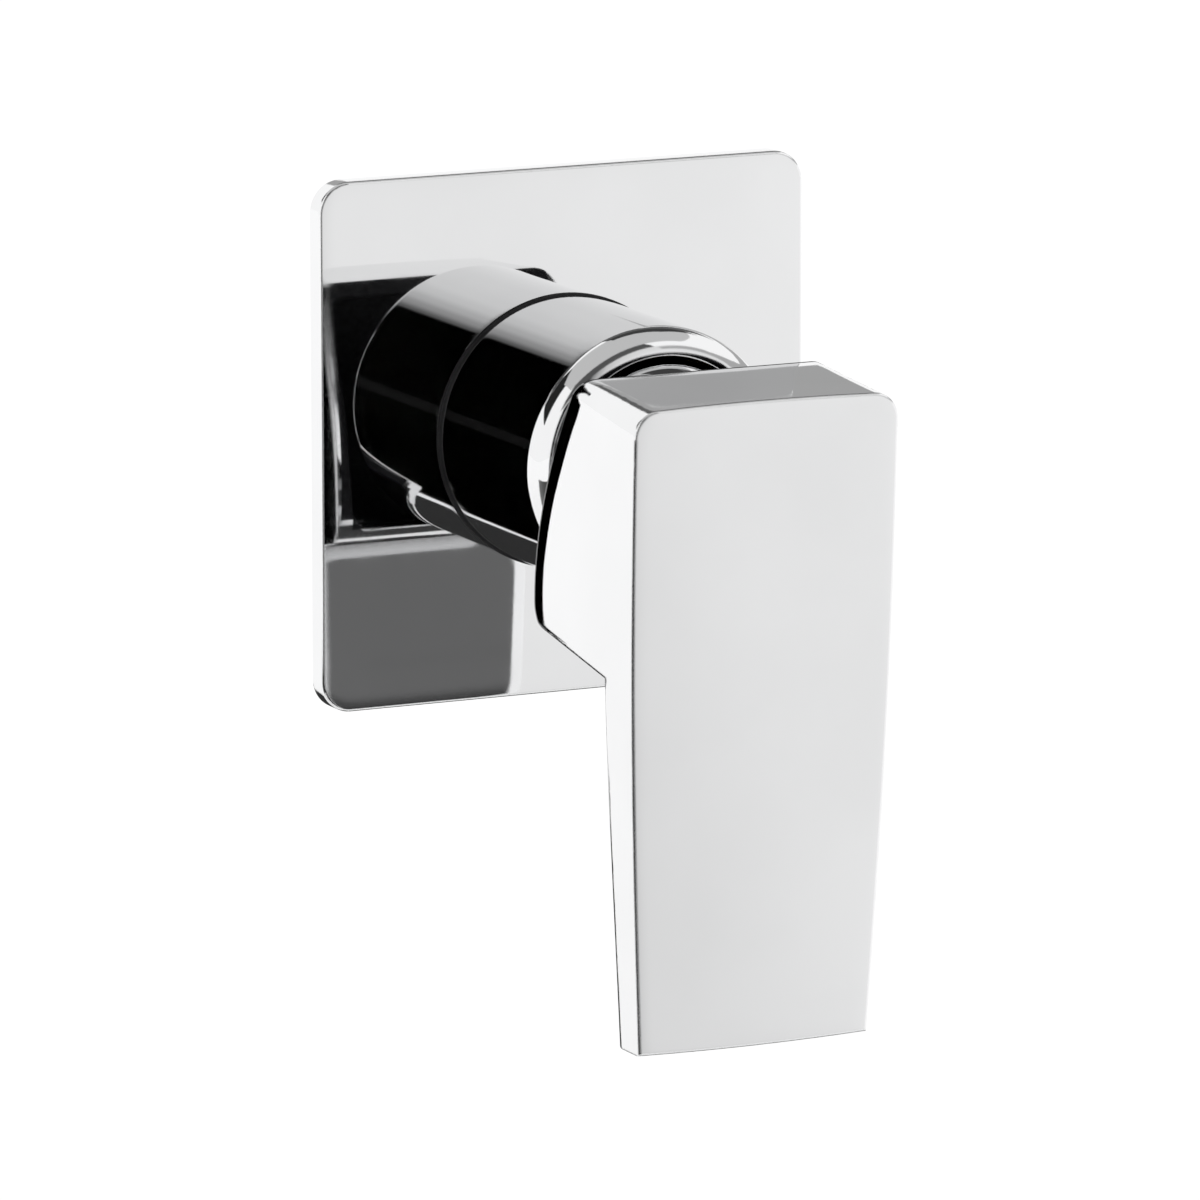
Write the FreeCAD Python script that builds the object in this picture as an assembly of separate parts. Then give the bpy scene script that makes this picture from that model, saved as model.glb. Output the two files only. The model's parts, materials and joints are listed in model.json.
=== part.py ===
import FreeCAD, Part
import math
import os

from FreeCAD import Rotation, Vector

# Concealed single lever shower mixer, in millimetres.
# The cartridge axis runs along Y and the front of the mixer faces -Y.
# The origin is on that axis, in the rear plane where the body is screwed down.
# A distance is measured from the finished wall towards the front.

# Wall plate
plate_side = 100.0
plate_thickness = 4.3
plate_corner_radius = 6.0
plate_front_round = 0.6
plate_bore_clearance = 0.3
gasket_inset = 3.0
gasket_width = 6.0
gasket_depth = 1.5
gasket_side_clearance = 0.05

# Cover sleeve, with a round shoulder that closes in to its mouth
sleeve_radius = 25.7
sleeve_wall = 2.4
sleeve_length = 43.1
shoulder_radius = 4.7
sleeve_mouth_round = 0.3
sleeve_foot_chamfer = 0.5

# Rubber rings
o_ring_section = 2.0
small_ring_section = 1.6
o_ring_seat_clearance = 0.03
ring_running_clearance = 0.08
sleeve_ring_distances = (9.5, 25.0)

# Brass body
fixing_depth = 37.0
nose_gap = 0.8
nose_rise = 0.6
nose_root_depth = 8.0
nose_chamfer = 0.8
core_radius = 19.0
pipe_axis_depth = 22.5
socket_boss_radius = 13.0
inlet_reach = 32.0
outlet_reach = 38.0
socket_chamfer = 1.0
pipe_thread_radius = 10.48
pipe_thread_length = 14.0
pipe_bore_radius = 6.0
inlet_bore_end = 5.5
ear_pitch_radius = 35.0
ear_radius = 5.5
ear_thickness = 4.0
ear_angle = 45.0
fixing_hole_radius = 2.75

# Pivot of the lever, and the angle between closed and fully open
pivot_setback = 5.4
lift_angle = 25.0
turn_angle = 50.0

# Domed cap round the pivot
dome_radius = 20.3
dome_wall = 1.0
dome_mouth_radius = 12.0

# Cartridge shell and base
cartridge_radius = 17.5
cartridge_bore_clearance = 0.1
cartridge_depth = 30.0
seal_proud = 0.3
base_thickness = 4.7
base_flange_thickness = 1.5
base_fit_clearance = 0.1
housing_wall = 1.4
housing_roof = 1.7
neck_wall = 2.0
neck_length = 10.5
peg_radius = 1.5
peg_length = 2.2
peg_hole_clearance = 0.15
peg_place = (9.5, 6.5)

# Ceramic discs, their ports and the seals under them
disc_thickness = 4.0
fixed_disc_radius = 15.8
moving_disc_radius = 13.0
port_circle_radius = 7.5
port_half_width = 2.0
port_first_angle = 27.0
port_last_angle = 57.0
outlet_port_radius = 3.2
outlet_port_height = 0.8
feed_hole_radius = 1.9
seal_wall = 0.9
seal_side_clearance = 0.03
chamber_depth = 2.2
chamber_radius = 4.6
chamber_lobe_radius = 4.4
chamber_lobe_height = 2.0
key_half_width = 2.0
key_depth = 1.5
key_length = 2.5
key_clearance = 0.1

# Carrier of the moving disc
carrier_radius = 12.5
carrier_thickness = 6.0
carrier_half_width = 10.1
carrier_pocket_depth = 4.4
carrier_tab_length = 2.0
carrier_tab_inner = 10.4
carrier_tab_outer = 12.2

# Rotor that turns in the neck
rotor_radius = 11.4
rotor_running_clearance = 0.08
rotor_flange_radius = 15.6
rotor_flange_thickness = 2.5
rotor_end_play = 0.1
rotor_top_rise = 2.5
carrier_gap = 0.2
rib_length = 5.0
rib_clearance = 0.2
rotor_ring_distance = 37.6
stop_key_radius = 12.6
stop_key_half_width = 1.5
stop_key_side_clearance = 0.3
stop_ring_radius = 14.6
stop_ring_thickness = 2.3
stop_ring_clearance = 0.4
stop_margin_angle = 1.5
stop_tab_half_width = 1.5
stop_tab_length = 2.0
stop_tab_clearance = 0.1

# Spindle, tilting on a pin through the rotor
spindle_width = 7.0
spindle_height = 8.0
spindle_reach = 31.0
spindle_hub_radius = 4.2
spindle_edge_chamfer = 0.6
finger_width = 6.0
finger_height = 4.0
finger_tip_radius = 2.5
finger_reach = 12.5
spindle_side_clearance = 0.1
spindle_swing_clearance = 1.0
finger_clearance = 0.15
pin_radius = 1.5
pin_length = 21.4
pin_fit_clearance = 0.02
pin_running_clearance = 0.06

# Retaining nut
nut_thread_radius = 20.0
nut_skirt_length = 6.0
nut_thread_run_out = 0.6
nut_collar_length = 4.0
nut_neck_clearance = 0.3
nut_fit_clearance = 0.05
nut_slot_count = 6
nut_slot_width = 4.0
nut_slot_depth = 1.6

# Lever: hollow head and long blade
head_reach = 47.2
head_gap = 1.0
face_lean = 2.66
handle_top = 18.6
handle_crown = 0.6
handle_length = 119.7
handle_half_width = 26.65
top_rise = 3.3
rear_crown = -0.3
top_corner_radius = 5.0
rear_corner_radius = 3.2
foot_crown = 0.4
side_height_shares = (0.0, 0.14, 0.34, 0.55, 0.78, 1.0)
front_width_shares = (1.0, 0.9993, 0.9883, 0.965, 0.9257, 0.875)
rear_width_shares = (0.935, 0.97, 1.014, 0.985, 0.92, 0.875)
blade_back_reach = 31.8
underside_drop = 32.2
underside_angle = 10.7
head_corner_radius = 6.0
head_corner_sink_share = 0.985
rim_radius = 68.0
blade_back_round = 4.0
underside_edge_round = 1.6
face_edge_round = 0.5
rim_edge_round = 0.4
head_wall = 3.0
head_top_wall = 2.6
face_wall = 4.6
cavity_corner_radius = 4.0
socket_boss_wall = 1.6
socket_clearance = 0.05
dome_clearance = 1.0

# Grub screw under the head
grub_radius = 2.5
grub_length = 8.0
grub_thread_clearance = 0.02
grub_key_radius = 1.44
grub_key_depth = 3.0
grub_seat = 24.5
turret_wall = 2.2

# Cutters run past the faces that they cut by this much, and edges are found this near a place
overrun = 5.0
edge_search = 0.05

# Places along the axis, as distances from the finished wall
sleeve_front = plate_thickness + sleeve_length
pivot = sleeve_front - pivot_setback
cartridge_floor = pivot - cartridge_depth
base_low = cartridge_floor + seal_proud
fixed_disc_low = base_low + base_thickness
moving_disc_low = fixed_disc_low + disc_thickness
carrier_low = moving_disc_low + disc_thickness
carrier_high = carrier_low + carrier_thickness
rotor_flange_low = carrier_high + carrier_gap
rotor_flange_high = rotor_flange_low + rotor_flange_thickness
housing_roof_low = rotor_flange_high + rotor_end_play
housing_shoulder = housing_roof_low + housing_roof
neck_top = housing_shoulder + neck_length
rotor_top = neck_top + rotor_top_rise
nose_front = housing_shoulder + nose_rise
blade_back = pivot + blade_back_reach
rim_low = sleeve_front + head_gap
handle_foot = handle_top - handle_length

# Radii that follow from the ones above
sleeve_bore = sleeve_radius - sleeve_wall
nose_radius = sleeve_bore - nose_gap
neck_bore = rotor_radius + rotor_running_clearance
neck_radius = neck_bore + neck_wall
housing_bore = cartridge_radius - housing_wall
dome_inner = dome_radius - dome_wall
closed_tilt = lift_angle / 2
disc_shift = finger_reach * math.sin(math.radians(closed_tilt))


def front(distance):
    return -(fixing_depth + distance)


def on_axis(distance):
    return Vector(0, front(distance), 0)


def disc(radius, low, high):
    return Part.makeCylinder(radius, high - low, on_axis(high), Vector(0, 1, 0))


def tube(inner, outer, low, high):
    return disc(outer, low, high).cut(disc(inner, low - overrun, high + overrun))


def hole(radius, x, z, low, high):
    start = Vector(x, front(high), z)
    return Part.makeCylinder(radius, high - low, start, Vector(0, 1, 0))


def block(half_width, low_z, high_z, low, high):
    corner = Vector(-half_width, front(high), low_z)
    return Part.makeBox(2 * half_width, high - low, high_z - low_z, corner)


def outline(place, start, steps):
    """A closed wire: a step is a point, or a pair of points for an arc."""
    edges = []
    here = start
    for step in steps:
        if isinstance(step[0], tuple):
            middle, end = step
            edges.append(Part.Arc(place(here), place(middle), place(end)).toShape())
        else:
            end = step
            edges.append(Part.makeLine(place(here), place(end)))
        here = end
    if here != start:
        edges.append(Part.makeLine(place(here), place(start)))
    return Part.Wire(edges)


def polar(centre, radius, degrees):
    angle = math.radians(degrees)
    return (centre[0] + radius * math.cos(angle), centre[1] + radius * math.sin(angle))


def turned(start, steps):
    """A solid of revolution: points are (radius, distance)."""
    wire = outline(lambda p: Vector(p[0], front(p[1]), 0), start, steps)
    return Part.Face(wire).revolve(Vector(0, 0, 0), Vector(0, 1, 0), 360)


def ring(centre_radius, section, distance):
    return Part.makeTorus(centre_radius, section / 2, on_axis(distance), Vector(0, 1, 0))


def rounded_wire(half_x, low_z, high_z, radius, distance):
    """A rectangle with rounded corners, square to the axis."""
    low, high = low_z + radius, high_z - radius
    side = half_x - radius
    steps = [
        (side, low_z),
        (polar((side, low), radius, -45), (half_x, low)),
        (half_x, high),
        (polar((side, high), radius, 45), (side, high_z)),
        (-side, high_z),
        (polar((-side, high), radius, 135), (-half_x, high)),
        (-half_x, low),
        (polar((-side, low), radius, 225), (-side, low_z)),
    ]
    return outline(lambda p: Vector(p[0], front(distance), p[1]), (-side, low_z), steps)


def rounded_slab(half, radius, low, high):
    wire = rounded_wire(half, -half, half, radius, low)
    return Part.Face(wire).extrude(Vector(0, front(high) - front(low), 0))


def kidney(side, half_width, low, high):
    """A port that bends round the axis, below it on the side of the given sign."""
    first = -90 + side * (90 - port_first_angle)
    last = -90 + side * (90 - port_last_angle)
    middle = (first + last) / 2
    centre = (0.0, 0.0)
    outer = port_circle_radius + half_width
    inner = port_circle_radius - half_width
    first_cap = polar(centre, port_circle_radius, first)
    last_cap = polar(centre, port_circle_radius, last)
    start = polar(centre, outer, first)
    steps = [
        (polar(centre, outer, middle), polar(centre, outer, last)),
        (polar(last_cap, half_width, last - side * 90), polar(centre, inner, last)),
        (polar(centre, inner, middle), polar(centre, inner, first)),
        (polar(first_cap, half_width, first + side * 90), start),
    ]
    wire = outline(lambda p: Vector(p[0], front(low), p[1]), start, steps)
    return Part.Face(wire).extrude(Vector(0, front(high) - front(low), 0))


def edges_where(shape, test):
    """Edges whose middle point passes the test."""
    found = []
    for edge in shape.Edges:
        first, last = edge.ParameterRange
        if test(edge.valueAt((first + last) / 2)):
            found.append(edge)
    return found


def distance_of(point):
    return -point.y - fixing_depth


def make_wall_plate():
    half = plate_side / 2
    plate = rounded_slab(half, plate_corner_radius, 0, plate_thickness)
    rim = edges_where(plate, lambda p: abs(distance_of(p) - plate_thickness) < edge_search)
    plate = plate.makeFillet(plate_front_round, rim)
    plate = plate.cut(disc(nose_radius + plate_bore_clearance, -overrun, plate_thickness + overrun))
    middle = plate_thickness / 2
    groove_radius = nose_radius + o_ring_section + 2 * o_ring_seat_clearance
    groove_half = o_ring_section / 2 + o_ring_seat_clearance
    plate = plate.cut(disc(groove_radius, middle - groove_half, middle + groove_half))
    return plate.cut(gasket_shape(0))


def gasket_shape(gap):
    outer = plate_side / 2 - gasket_inset - gap
    inner = plate_side / 2 - gasket_inset - gasket_width + gap
    outer_corner = plate_corner_radius - gasket_inset
    inner_corner = outer_corner / 2
    shape = rounded_slab(outer, outer_corner, 0, gasket_depth)
    return shape.cut(rounded_slab(inner, inner_corner, 0, gasket_depth))


def make_plate_gasket():
    return gasket_shape(gasket_side_clearance)


def make_plate_o_ring():
    centre = nose_radius + o_ring_section / 2 + o_ring_seat_clearance
    return ring(centre, o_ring_section, plate_thickness / 2)


def make_cover_sleeve():
    centre = (sleeve_radius - shoulder_radius, sleeve_front - shoulder_radius)
    mouth = (centre[0], sleeve_front - sleeve_mouth_round)
    inner_round = shoulder_radius - sleeve_wall
    steps = [
        (sleeve_radius - sleeve_foot_chamfer, plate_thickness),
        (sleeve_radius, plate_thickness + sleeve_foot_chamfer),
        (sleeve_radius, centre[1]),
        (polar(centre, shoulder_radius, 45), (centre[0], sleeve_front)),
        (polar(mouth, sleeve_mouth_round, 135), (centre[0] - sleeve_mouth_round, mouth[1])),
        (centre[0] - sleeve_mouth_round, sleeve_front - sleeve_wall),
        (centre[0], sleeve_front - sleeve_wall),
        (polar(centre, inner_round, 45), (sleeve_bore, centre[1])),
    ]
    return turned((sleeve_bore, plate_thickness), steps)


def make_sleeve_o_rings():
    centre = sleeve_bore - o_ring_section / 2 - o_ring_seat_clearance
    return Part.makeCompound([ring(centre, o_ring_section, d) for d in sleeve_ring_distances])


def make_dome_cap():
    centre = (0.0, pivot)
    outer_angle = math.degrees(math.acos(dome_mouth_radius / dome_radius))
    inner_angle = math.degrees(math.acos(dome_mouth_radius / dome_inner))
    outer_end = polar(centre, dome_radius, outer_angle)
    steps = [
        (dome_radius, nose_front),
        (dome_radius, pivot),
        (polar(centre, dome_radius, outer_angle / 2), outer_end),
        polar(centre, dome_inner, inner_angle),
        (polar(centre, dome_inner, inner_angle / 2), (dome_inner, pivot)),
    ]
    return turned((dome_inner, nose_front), steps)


def socket(direction, reach):
    """A pipe socket: thread bore with a narrower way behind it, along X or Z."""
    axis_point = Vector(0, front(-pipe_axis_depth), 0)
    mouth = axis_point + direction * (reach - pipe_thread_length)
    return Part.makeCylinder(pipe_thread_radius, pipe_thread_length + overrun, mouth, direction)


def boss(direction, reach):
    axis_point = Vector(0, front(-pipe_axis_depth), 0)
    solid = Part.makeCylinder(socket_boss_radius, reach, axis_point, direction)
    end = axis_point + direction * reach
    mouth_edges = edges_where(solid, lambda p: abs((p - end).dot(direction)) < edge_search)
    return solid.makeChamfer(socket_chamfer, mouth_edges)


def ear(angle):
    """A fixing ear: a flat arm from the core to a round end."""
    x, z = polar((0.0, 0.0), ear_pitch_radius, angle)
    low = -fixing_depth
    high = low + ear_thickness
    end = hole(ear_radius, x, z, low, high)
    arm = Part.makeBox(ear_pitch_radius, ear_thickness, 2 * ear_radius, Vector(0, front(high), -ear_radius))
    arm.rotate(Vector(0, 0, 0), Vector(0, 1, 0), -angle)
    return end.fuse(arm)


def make_mixer_body():
    body = disc(nose_radius, -nose_root_depth, nose_front)
    nose_edge = edges_where(body, lambda p: abs(distance_of(p) - nose_front) < edge_search)
    body = body.makeChamfer(nose_chamfer, nose_edge)
    body = body.fuse(disc(core_radius, -fixing_depth, -nose_root_depth))
    body = body.fuse([boss(Vector(-1, 0, 0), inlet_reach), boss(Vector(1, 0, 0), inlet_reach)])
    body = body.fuse([boss(Vector(0, 0, 1), outlet_reach), ear(ear_angle), ear(ear_angle + 180)])
    body = body.removeSplitter()
    return body.cut(body_hollows()).removeSplitter()


def body_hollows():
    """Everything that is bored out of the casting."""
    bore = cartridge_radius + cartridge_bore_clearance
    thread_low = housing_shoulder - nut_skirt_length - nut_thread_run_out
    cuts = [
        disc(bore, cartridge_floor, nose_front + overrun),
        disc(nut_thread_radius + nut_fit_clearance, thread_low, nose_front + overrun),
    ]
    groove_bottom = sleeve_bore - o_ring_section - 2 * o_ring_seat_clearance
    groove_half = o_ring_section / 2 + o_ring_seat_clearance
    outside = nose_radius + overrun
    for distance in sleeve_ring_distances:
        cuts.append(tube(groove_bottom, outside, distance - groove_half, distance + groove_half))
    for side in (-1, 1):
        direction = Vector(side, 0, 0)
        start = Vector(side * inlet_bore_end, front(-pipe_axis_depth), 0)
        cuts.append(socket(direction, inlet_reach))
        cuts.append(Part.makeCylinder(pipe_bore_radius, inlet_reach - inlet_bore_end, start, direction))
        x, z = polar((0.0, 0.0), port_circle_radius, -90 + side * (90 - port_first_angle))
        cuts.append(hole(feed_hole_radius, x, z, -pipe_axis_depth, cartridge_floor + overrun))
        cuts.append(hole(peg_radius + peg_hole_clearance, side * peg_place[0], peg_place[1],
                         base_low - peg_length - seal_proud, cartridge_floor + overrun))
    up = Vector(0, 0, 1)
    way_start = Vector(0, front(-pipe_axis_depth), outlet_port_height)
    cuts.append(socket(up, outlet_reach))
    cuts.append(Part.makeCylinder(outlet_port_radius, outlet_reach, way_start, up))
    cuts.append(hole(outlet_port_radius, 0, outlet_port_height,
                     -pipe_axis_depth - outlet_port_radius, cartridge_floor + overrun))
    ear_low, ear_high = -fixing_depth - overrun, -fixing_depth + ear_thickness + overrun
    for angle in (ear_angle, ear_angle + 180):
        x, z = polar((0.0, 0.0), ear_pitch_radius, angle)
        cuts.append(hole(fixing_hole_radius, x, z, ear_low, ear_high))
    return cuts[0].fuse(cuts[1:])


def make_retaining_nut():
    skirt_bore = cartridge_radius + cartridge_bore_clearance
    neck_hole = neck_radius + nut_neck_clearance
    skirt_low = housing_shoulder - nut_skirt_length
    collar_radius = dome_inner - nut_fit_clearance
    lip_high = nose_front + nut_collar_length
    steps = [
        (nut_thread_radius, skirt_low),
        (nut_thread_radius, nose_front),
        (collar_radius, nose_front),
        (collar_radius, lip_high),
        (neck_hole, lip_high),
        (neck_hole, housing_shoulder),
        (skirt_bore, housing_shoulder),
    ]
    nut = turned((skirt_bore, skirt_low), steps)
    slot = block(nut_slot_width / 2, neck_hole - overrun, collar_radius + overrun,
                 lip_high - nut_slot_depth, lip_high + overrun)
    for index in range(nut_slot_count):
        cutter = slot.copy()
        cutter.rotate(Vector(0, 0, 0), Vector(0, 1, 0), 360 * index / nut_slot_count)
        nut = nut.cut(cutter)
    return nut


def make_cartridge_housing():
    low = base_low + base_flange_thickness
    steps = [
        (cartridge_radius, low),
        (cartridge_radius, housing_shoulder),
        (neck_radius, housing_shoulder),
        (neck_radius, neck_top),
        (neck_bore, neck_top),
        (neck_bore, housing_roof_low),
        (housing_bore, housing_roof_low),
    ]
    return turned((housing_bore, low), steps).cut(stop_tabs(stop_tab_clearance))


def key_blocks(clearance, length, outer):
    """The two keys on the base that hold the fixed disc, or the notches for them."""
    inner = fixed_disc_radius - key_depth - clearance
    half = key_half_width + clearance
    low = front(fixed_disc_low + length)
    corners = (Vector(-outer, low, -half), Vector(inner, low, -half))
    return [Part.makeBox(outer - inner, length, 2 * half, corner) for corner in corners]


def make_cartridge_base():
    flange_high = base_low + base_flange_thickness
    base = disc(cartridge_radius, base_low, flange_high)
    base = base.fuse(disc(housing_bore - base_fit_clearance, flange_high, fixed_disc_low))
    base = base.fuse(key_blocks(0, key_length, fixed_disc_radius))
    for side in (-1, 1):
        base = base.fuse(hole(peg_radius, side * peg_place[0], peg_place[1], base_low - peg_length, base_low))
    seat = seal_wall + seal_side_clearance
    low, high = base_low - overrun, fixed_disc_low + overrun
    for side in (-1, 1):
        base = base.cut(kidney(side, port_half_width + seat, low, high))
    return base.cut(hole(outlet_port_radius + seat, 0, outlet_port_height, low, high)).removeSplitter()


def make_port_seals():
    low, high = cartridge_floor, fixed_disc_low
    seals = []
    for side in (-1, 1):
        outer = kidney(side, port_half_width + seal_wall, low, high)
        seals.append(outer.cut(kidney(side, port_half_width, low - overrun, high + overrun)))
    outer = hole(outlet_port_radius + seal_wall, 0, outlet_port_height, low, high)
    seals.append(outer.cut(hole(outlet_port_radius, 0, outlet_port_height, low - overrun, high + overrun)))
    return Part.makeCompound(seals)


def make_fixed_disc():
    high = fixed_disc_low + disc_thickness
    shape = disc(fixed_disc_radius, fixed_disc_low, high)
    low, past = fixed_disc_low - overrun, high + overrun
    for side in (-1, 1):
        shape = shape.cut(kidney(side, port_half_width, low, past))
    shape = shape.cut(hole(outlet_port_radius, 0, outlet_port_height, low, past))
    return shape.cut(key_blocks(key_clearance, key_length + key_clearance, cartridge_radius))


def tab_block(side, clearance):
    """A tab of the carrier, or the notch for it in the moving disc."""
    half = key_half_width + clearance
    inner = carrier_tab_inner - clearance
    outer = carrier_tab_outer if clearance == 0 else moving_disc_radius + overrun
    low_z, high_z = (inner, outer) if side > 0 else (-outer, -inner)
    return block(half, low_z, high_z, carrier_low - carrier_tab_length - clearance, carrier_low)


def make_moving_disc():
    high = moving_disc_low + disc_thickness
    shape = disc(moving_disc_radius, moving_disc_low, high)
    chamber_high = moving_disc_low + chamber_depth
    chamber_low = moving_disc_low - overrun
    chamber = hole(chamber_radius, 0, -disc_shift, chamber_low, chamber_high)
    chamber = chamber.fuse(hole(chamber_lobe_radius, 0, chamber_lobe_height, chamber_low, chamber_high))
    shape = shape.cut(chamber)
    for side in (-1, 1):
        shape = shape.cut(tab_block(side, key_clearance))
    shape.translate(Vector(0, 0, disc_shift))
    return shape


def make_disc_carrier():
    shape = disc(carrier_radius, carrier_low, carrier_high)
    flats = block(carrier_half_width, -carrier_radius, carrier_radius, carrier_low, carrier_high)
    shape = shape.common(flats)
    pocket_half = finger_tip_radius + finger_clearance
    pocket = block(finger_width / 2 + finger_clearance, -pocket_half, pocket_half,
                   carrier_high - carrier_pocket_depth, carrier_high + overrun)
    shape = shape.cut(pocket)
    shape = shape.fuse([tab_block(side, 0) for side in (-1, 1)]).removeSplitter()
    shape.translate(Vector(0, 0, disc_shift))
    return shape


def make_cartridge_rotor():
    rotor = disc(rotor_radius, rotor_flange_low, rotor_top)
    rotor = rotor.fuse(disc(rotor_flange_radius, rotor_flange_low, rotor_flange_high))
    rib_low = rotor_flange_low - rib_length
    ribs = disc(rotor_flange_radius, rib_low, rotor_flange_low)
    gap = block(carrier_half_width + rib_clearance, -cartridge_radius, cartridge_radius, rib_low - overrun,
                rotor_flange_low)
    rotor = rotor.fuse(ribs.cut(gap))
    key_low = neck_top + stop_key_side_clearance
    key_high = neck_top + stop_ring_thickness - stop_key_side_clearance
    rotor = rotor.fuse(block(stop_key_half_width, rotor_radius / 2, stop_key_radius, key_low, key_high))
    slot_half = spindle_width / 2 + spindle_side_clearance
    swing = math.tan(math.radians(closed_tilt)) * (rotor_top - pivot)
    slot_reach = swing + spindle_height / 2 + spindle_swing_clearance
    rotor = rotor.cut(block(slot_half, -slot_reach, slot_reach, rib_low - overrun, rotor_top + overrun))
    groove_radius = neck_bore - ring_running_clearance - small_ring_section - o_ring_seat_clearance
    groove_half = small_ring_section / 2 + o_ring_seat_clearance
    rotor = rotor.cut(tube(groove_radius, rotor_radius + overrun, rotor_ring_distance - groove_half,
                           rotor_ring_distance + groove_half))
    return rotor.cut(cross_pin(pin_radius + pin_fit_clearance, 4 * rotor_radius)).removeSplitter()


def cross_pin(radius, length):
    return Part.makeCylinder(radius, length, Vector(-length / 2, front(pivot), 0), Vector(1, 0, 0))


def make_spindle_pin():
    return cross_pin(pin_radius, pin_length)


def make_rotor_o_ring():
    centre = neck_bore - ring_running_clearance - small_ring_section / 2
    return ring(centre, small_ring_section, rotor_ring_distance)


def stop_tabs(clearance):
    """The two tabs under the stop ring that lock it in the neck, or the notches for them."""
    low = neck_top - stop_tab_length - clearance
    half = stop_tab_half_width + clearance
    inner = rotor_radius + 2 * stop_ring_clearance - clearance
    outer = neck_radius if clearance == 0 else stop_ring_radius
    left = Vector(-outer, front(neck_top), -half)
    right = Vector(inner, front(neck_top), -half)
    return [Part.makeBox(outer - inner, neck_top - low, 2 * half, corner) for corner in (left, right)]


def make_stop_ring():
    low, high = neck_top - overrun, neck_top + stop_ring_thickness + overrun
    inner = rotor_radius + stop_ring_clearance
    shape = tube(inner, stop_ring_radius, neck_top, neck_top + stop_ring_thickness)
    key_half_angle = math.degrees(math.asin(stop_key_half_width / rotor_radius))
    half = turn_angle + key_half_angle + stop_margin_angle
    centre = (0.0, 0.0)
    window_radius = stop_key_radius + stop_ring_clearance
    steps = [(polar(centre, window_radius, 90), polar(centre, window_radius, 90 + half)), centre]
    start = polar(centre, window_radius, 90 - half)
    wire = outline(lambda p: Vector(p[0], front(low), p[1]), start, steps)
    window = Part.Face(wire).extrude(Vector(0, front(high) - front(low), 0))
    return shape.cut(window).fuse(stop_tabs(0)).removeSplitter()


def lean_down(shape):
    """Tilt a piece built straight ahead of the pivot to where the closed lever holds it."""
    shape.rotate(on_axis(pivot), Vector(1, 0, 0), closed_tilt)
    return shape


def make_spindle():
    half_height, half_width = spindle_height / 2, spindle_width / 2
    end = pivot + spindle_reach
    shank = block(half_width, -half_height, half_height, pivot, end)
    tip_edges = edges_where(shank, lambda p: abs(distance_of(p) - end) < edge_search)
    shank = shank.makeChamfer(spindle_edge_chamfer, tip_edges)
    across = Vector(1, 0, 0)
    hub_start = Vector(-half_width, front(pivot), 0)
    hub = Part.makeCylinder(spindle_hub_radius, spindle_width, hub_start, across)
    finger = block(finger_width / 2, -finger_height / 2, finger_height / 2, pivot - finger_reach, pivot)
    tip_start = Vector(-finger_width / 2, front(pivot - finger_reach), 0)
    tip = Part.makeCylinder(finger_tip_radius, finger_width, tip_start, across)
    spindle = shank.fuse([hub, finger, tip]).removeSplitter()
    return lean_down(spindle.cut(cross_pin(pin_radius + pin_running_clearance, 2 * spindle_width)))


def lever_outline(width_shares, top, crown, distance):
    """The lever seen from the front, at one distance from the wall, with sharp corners."""
    curves = []
    for side in (-1, 1):
        points = []
        for height_share, width_share in zip(side_height_shares, width_shares):
            height = top + (handle_foot - top) * height_share
            points.append(Vector(side * handle_half_width * width_share, front(distance), height))
        curve = Part.BSplineCurve()
        curve.interpolate(points)
        curves.append(curve)
    left, right = curves
    top_middle = Vector(0, front(distance), top + crown)
    foot_middle = Vector(0, front(distance), handle_foot - foot_crown)
    return Part.Wire([
        Part.Arc(left.StartPoint, top_middle, right.StartPoint).toShape(),
        right.toShape(),
        Part.Arc(right.EndPoint, foot_middle, left.EndPoint).toShape(),
        left.toShape(),
    ])


def face_distance(height):
    """How far the leaning front face stands off the wall at one height."""
    return pivot + head_reach + height * math.tan(math.radians(face_lean))


def underside(distance):
    """The height of the head's underside at one distance from the wall."""
    return -underside_drop + (blade_back - distance) * math.tan(math.radians(underside_angle))


def side_slab(start, steps):
    """A shape drawn from the side, as (distance, height), and wider than the lever."""
    half = 2 * handle_half_width
    wire = outline(lambda p: Vector(-half, front(p[0]), p[1]), start, steps)
    return Part.Face(wire).extrude(Vector(2 * half, 0, 0))


def lever_form():
    """The tapering form that the head and the blade are both cut from."""
    near, far = sleeve_front, face_distance(handle_top + overrun)
    face = lever_outline(front_width_shares, handle_top, handle_crown, far)
    rear = lever_outline(rear_width_shares, handle_top + top_rise, rear_crown, near)
    form = Part.makeLoft([face, rear], True, True)
    corners = edges_where(form, lambda p: p.z > 0 and abs(p.x) > handle_half_width / 2
                          and near + overrun < distance_of(p) < far - overrun)
    return form.makeFillet(top_corner_radius, rear_corner_radius, corners)


def blade_part(form):
    low, high = handle_foot - overrun, 2 * overrun - underside_drop
    steps = [(blade_back, low), (blade_back, high), (face_distance(high), high)]
    blade = form.common(side_slab((face_distance(low), low), steps))
    back = edges_where(blade, lambda p: abs(distance_of(p) - blade_back) < edge_search
                       and p.z < high - overrun)
    return blade.makeFillet(blade_back_round, back)


def head_part(form):
    high = handle_top + 4 * overrun
    slope_product = math.tan(math.radians(underside_angle)) * math.tan(math.radians(face_lean))
    toe = underside(face_distance(0)) / (1 + slope_product)
    steps = [(face_distance(high), high), (face_distance(toe), toe), (sleeve_front, underside(sleeve_front))]
    head = form.common(side_slab((sleeve_front, high), steps))
    sides = edges_where(head, lambda p: abs(p.z - underside(distance_of(p))) < edge_search
                        and abs(p.x) > handle_half_width / 2)
    head = head.makeFillet(underside_edge_round, sides)
    return head.common(rim_slab(high, face_distance(high) + overrun))


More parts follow.
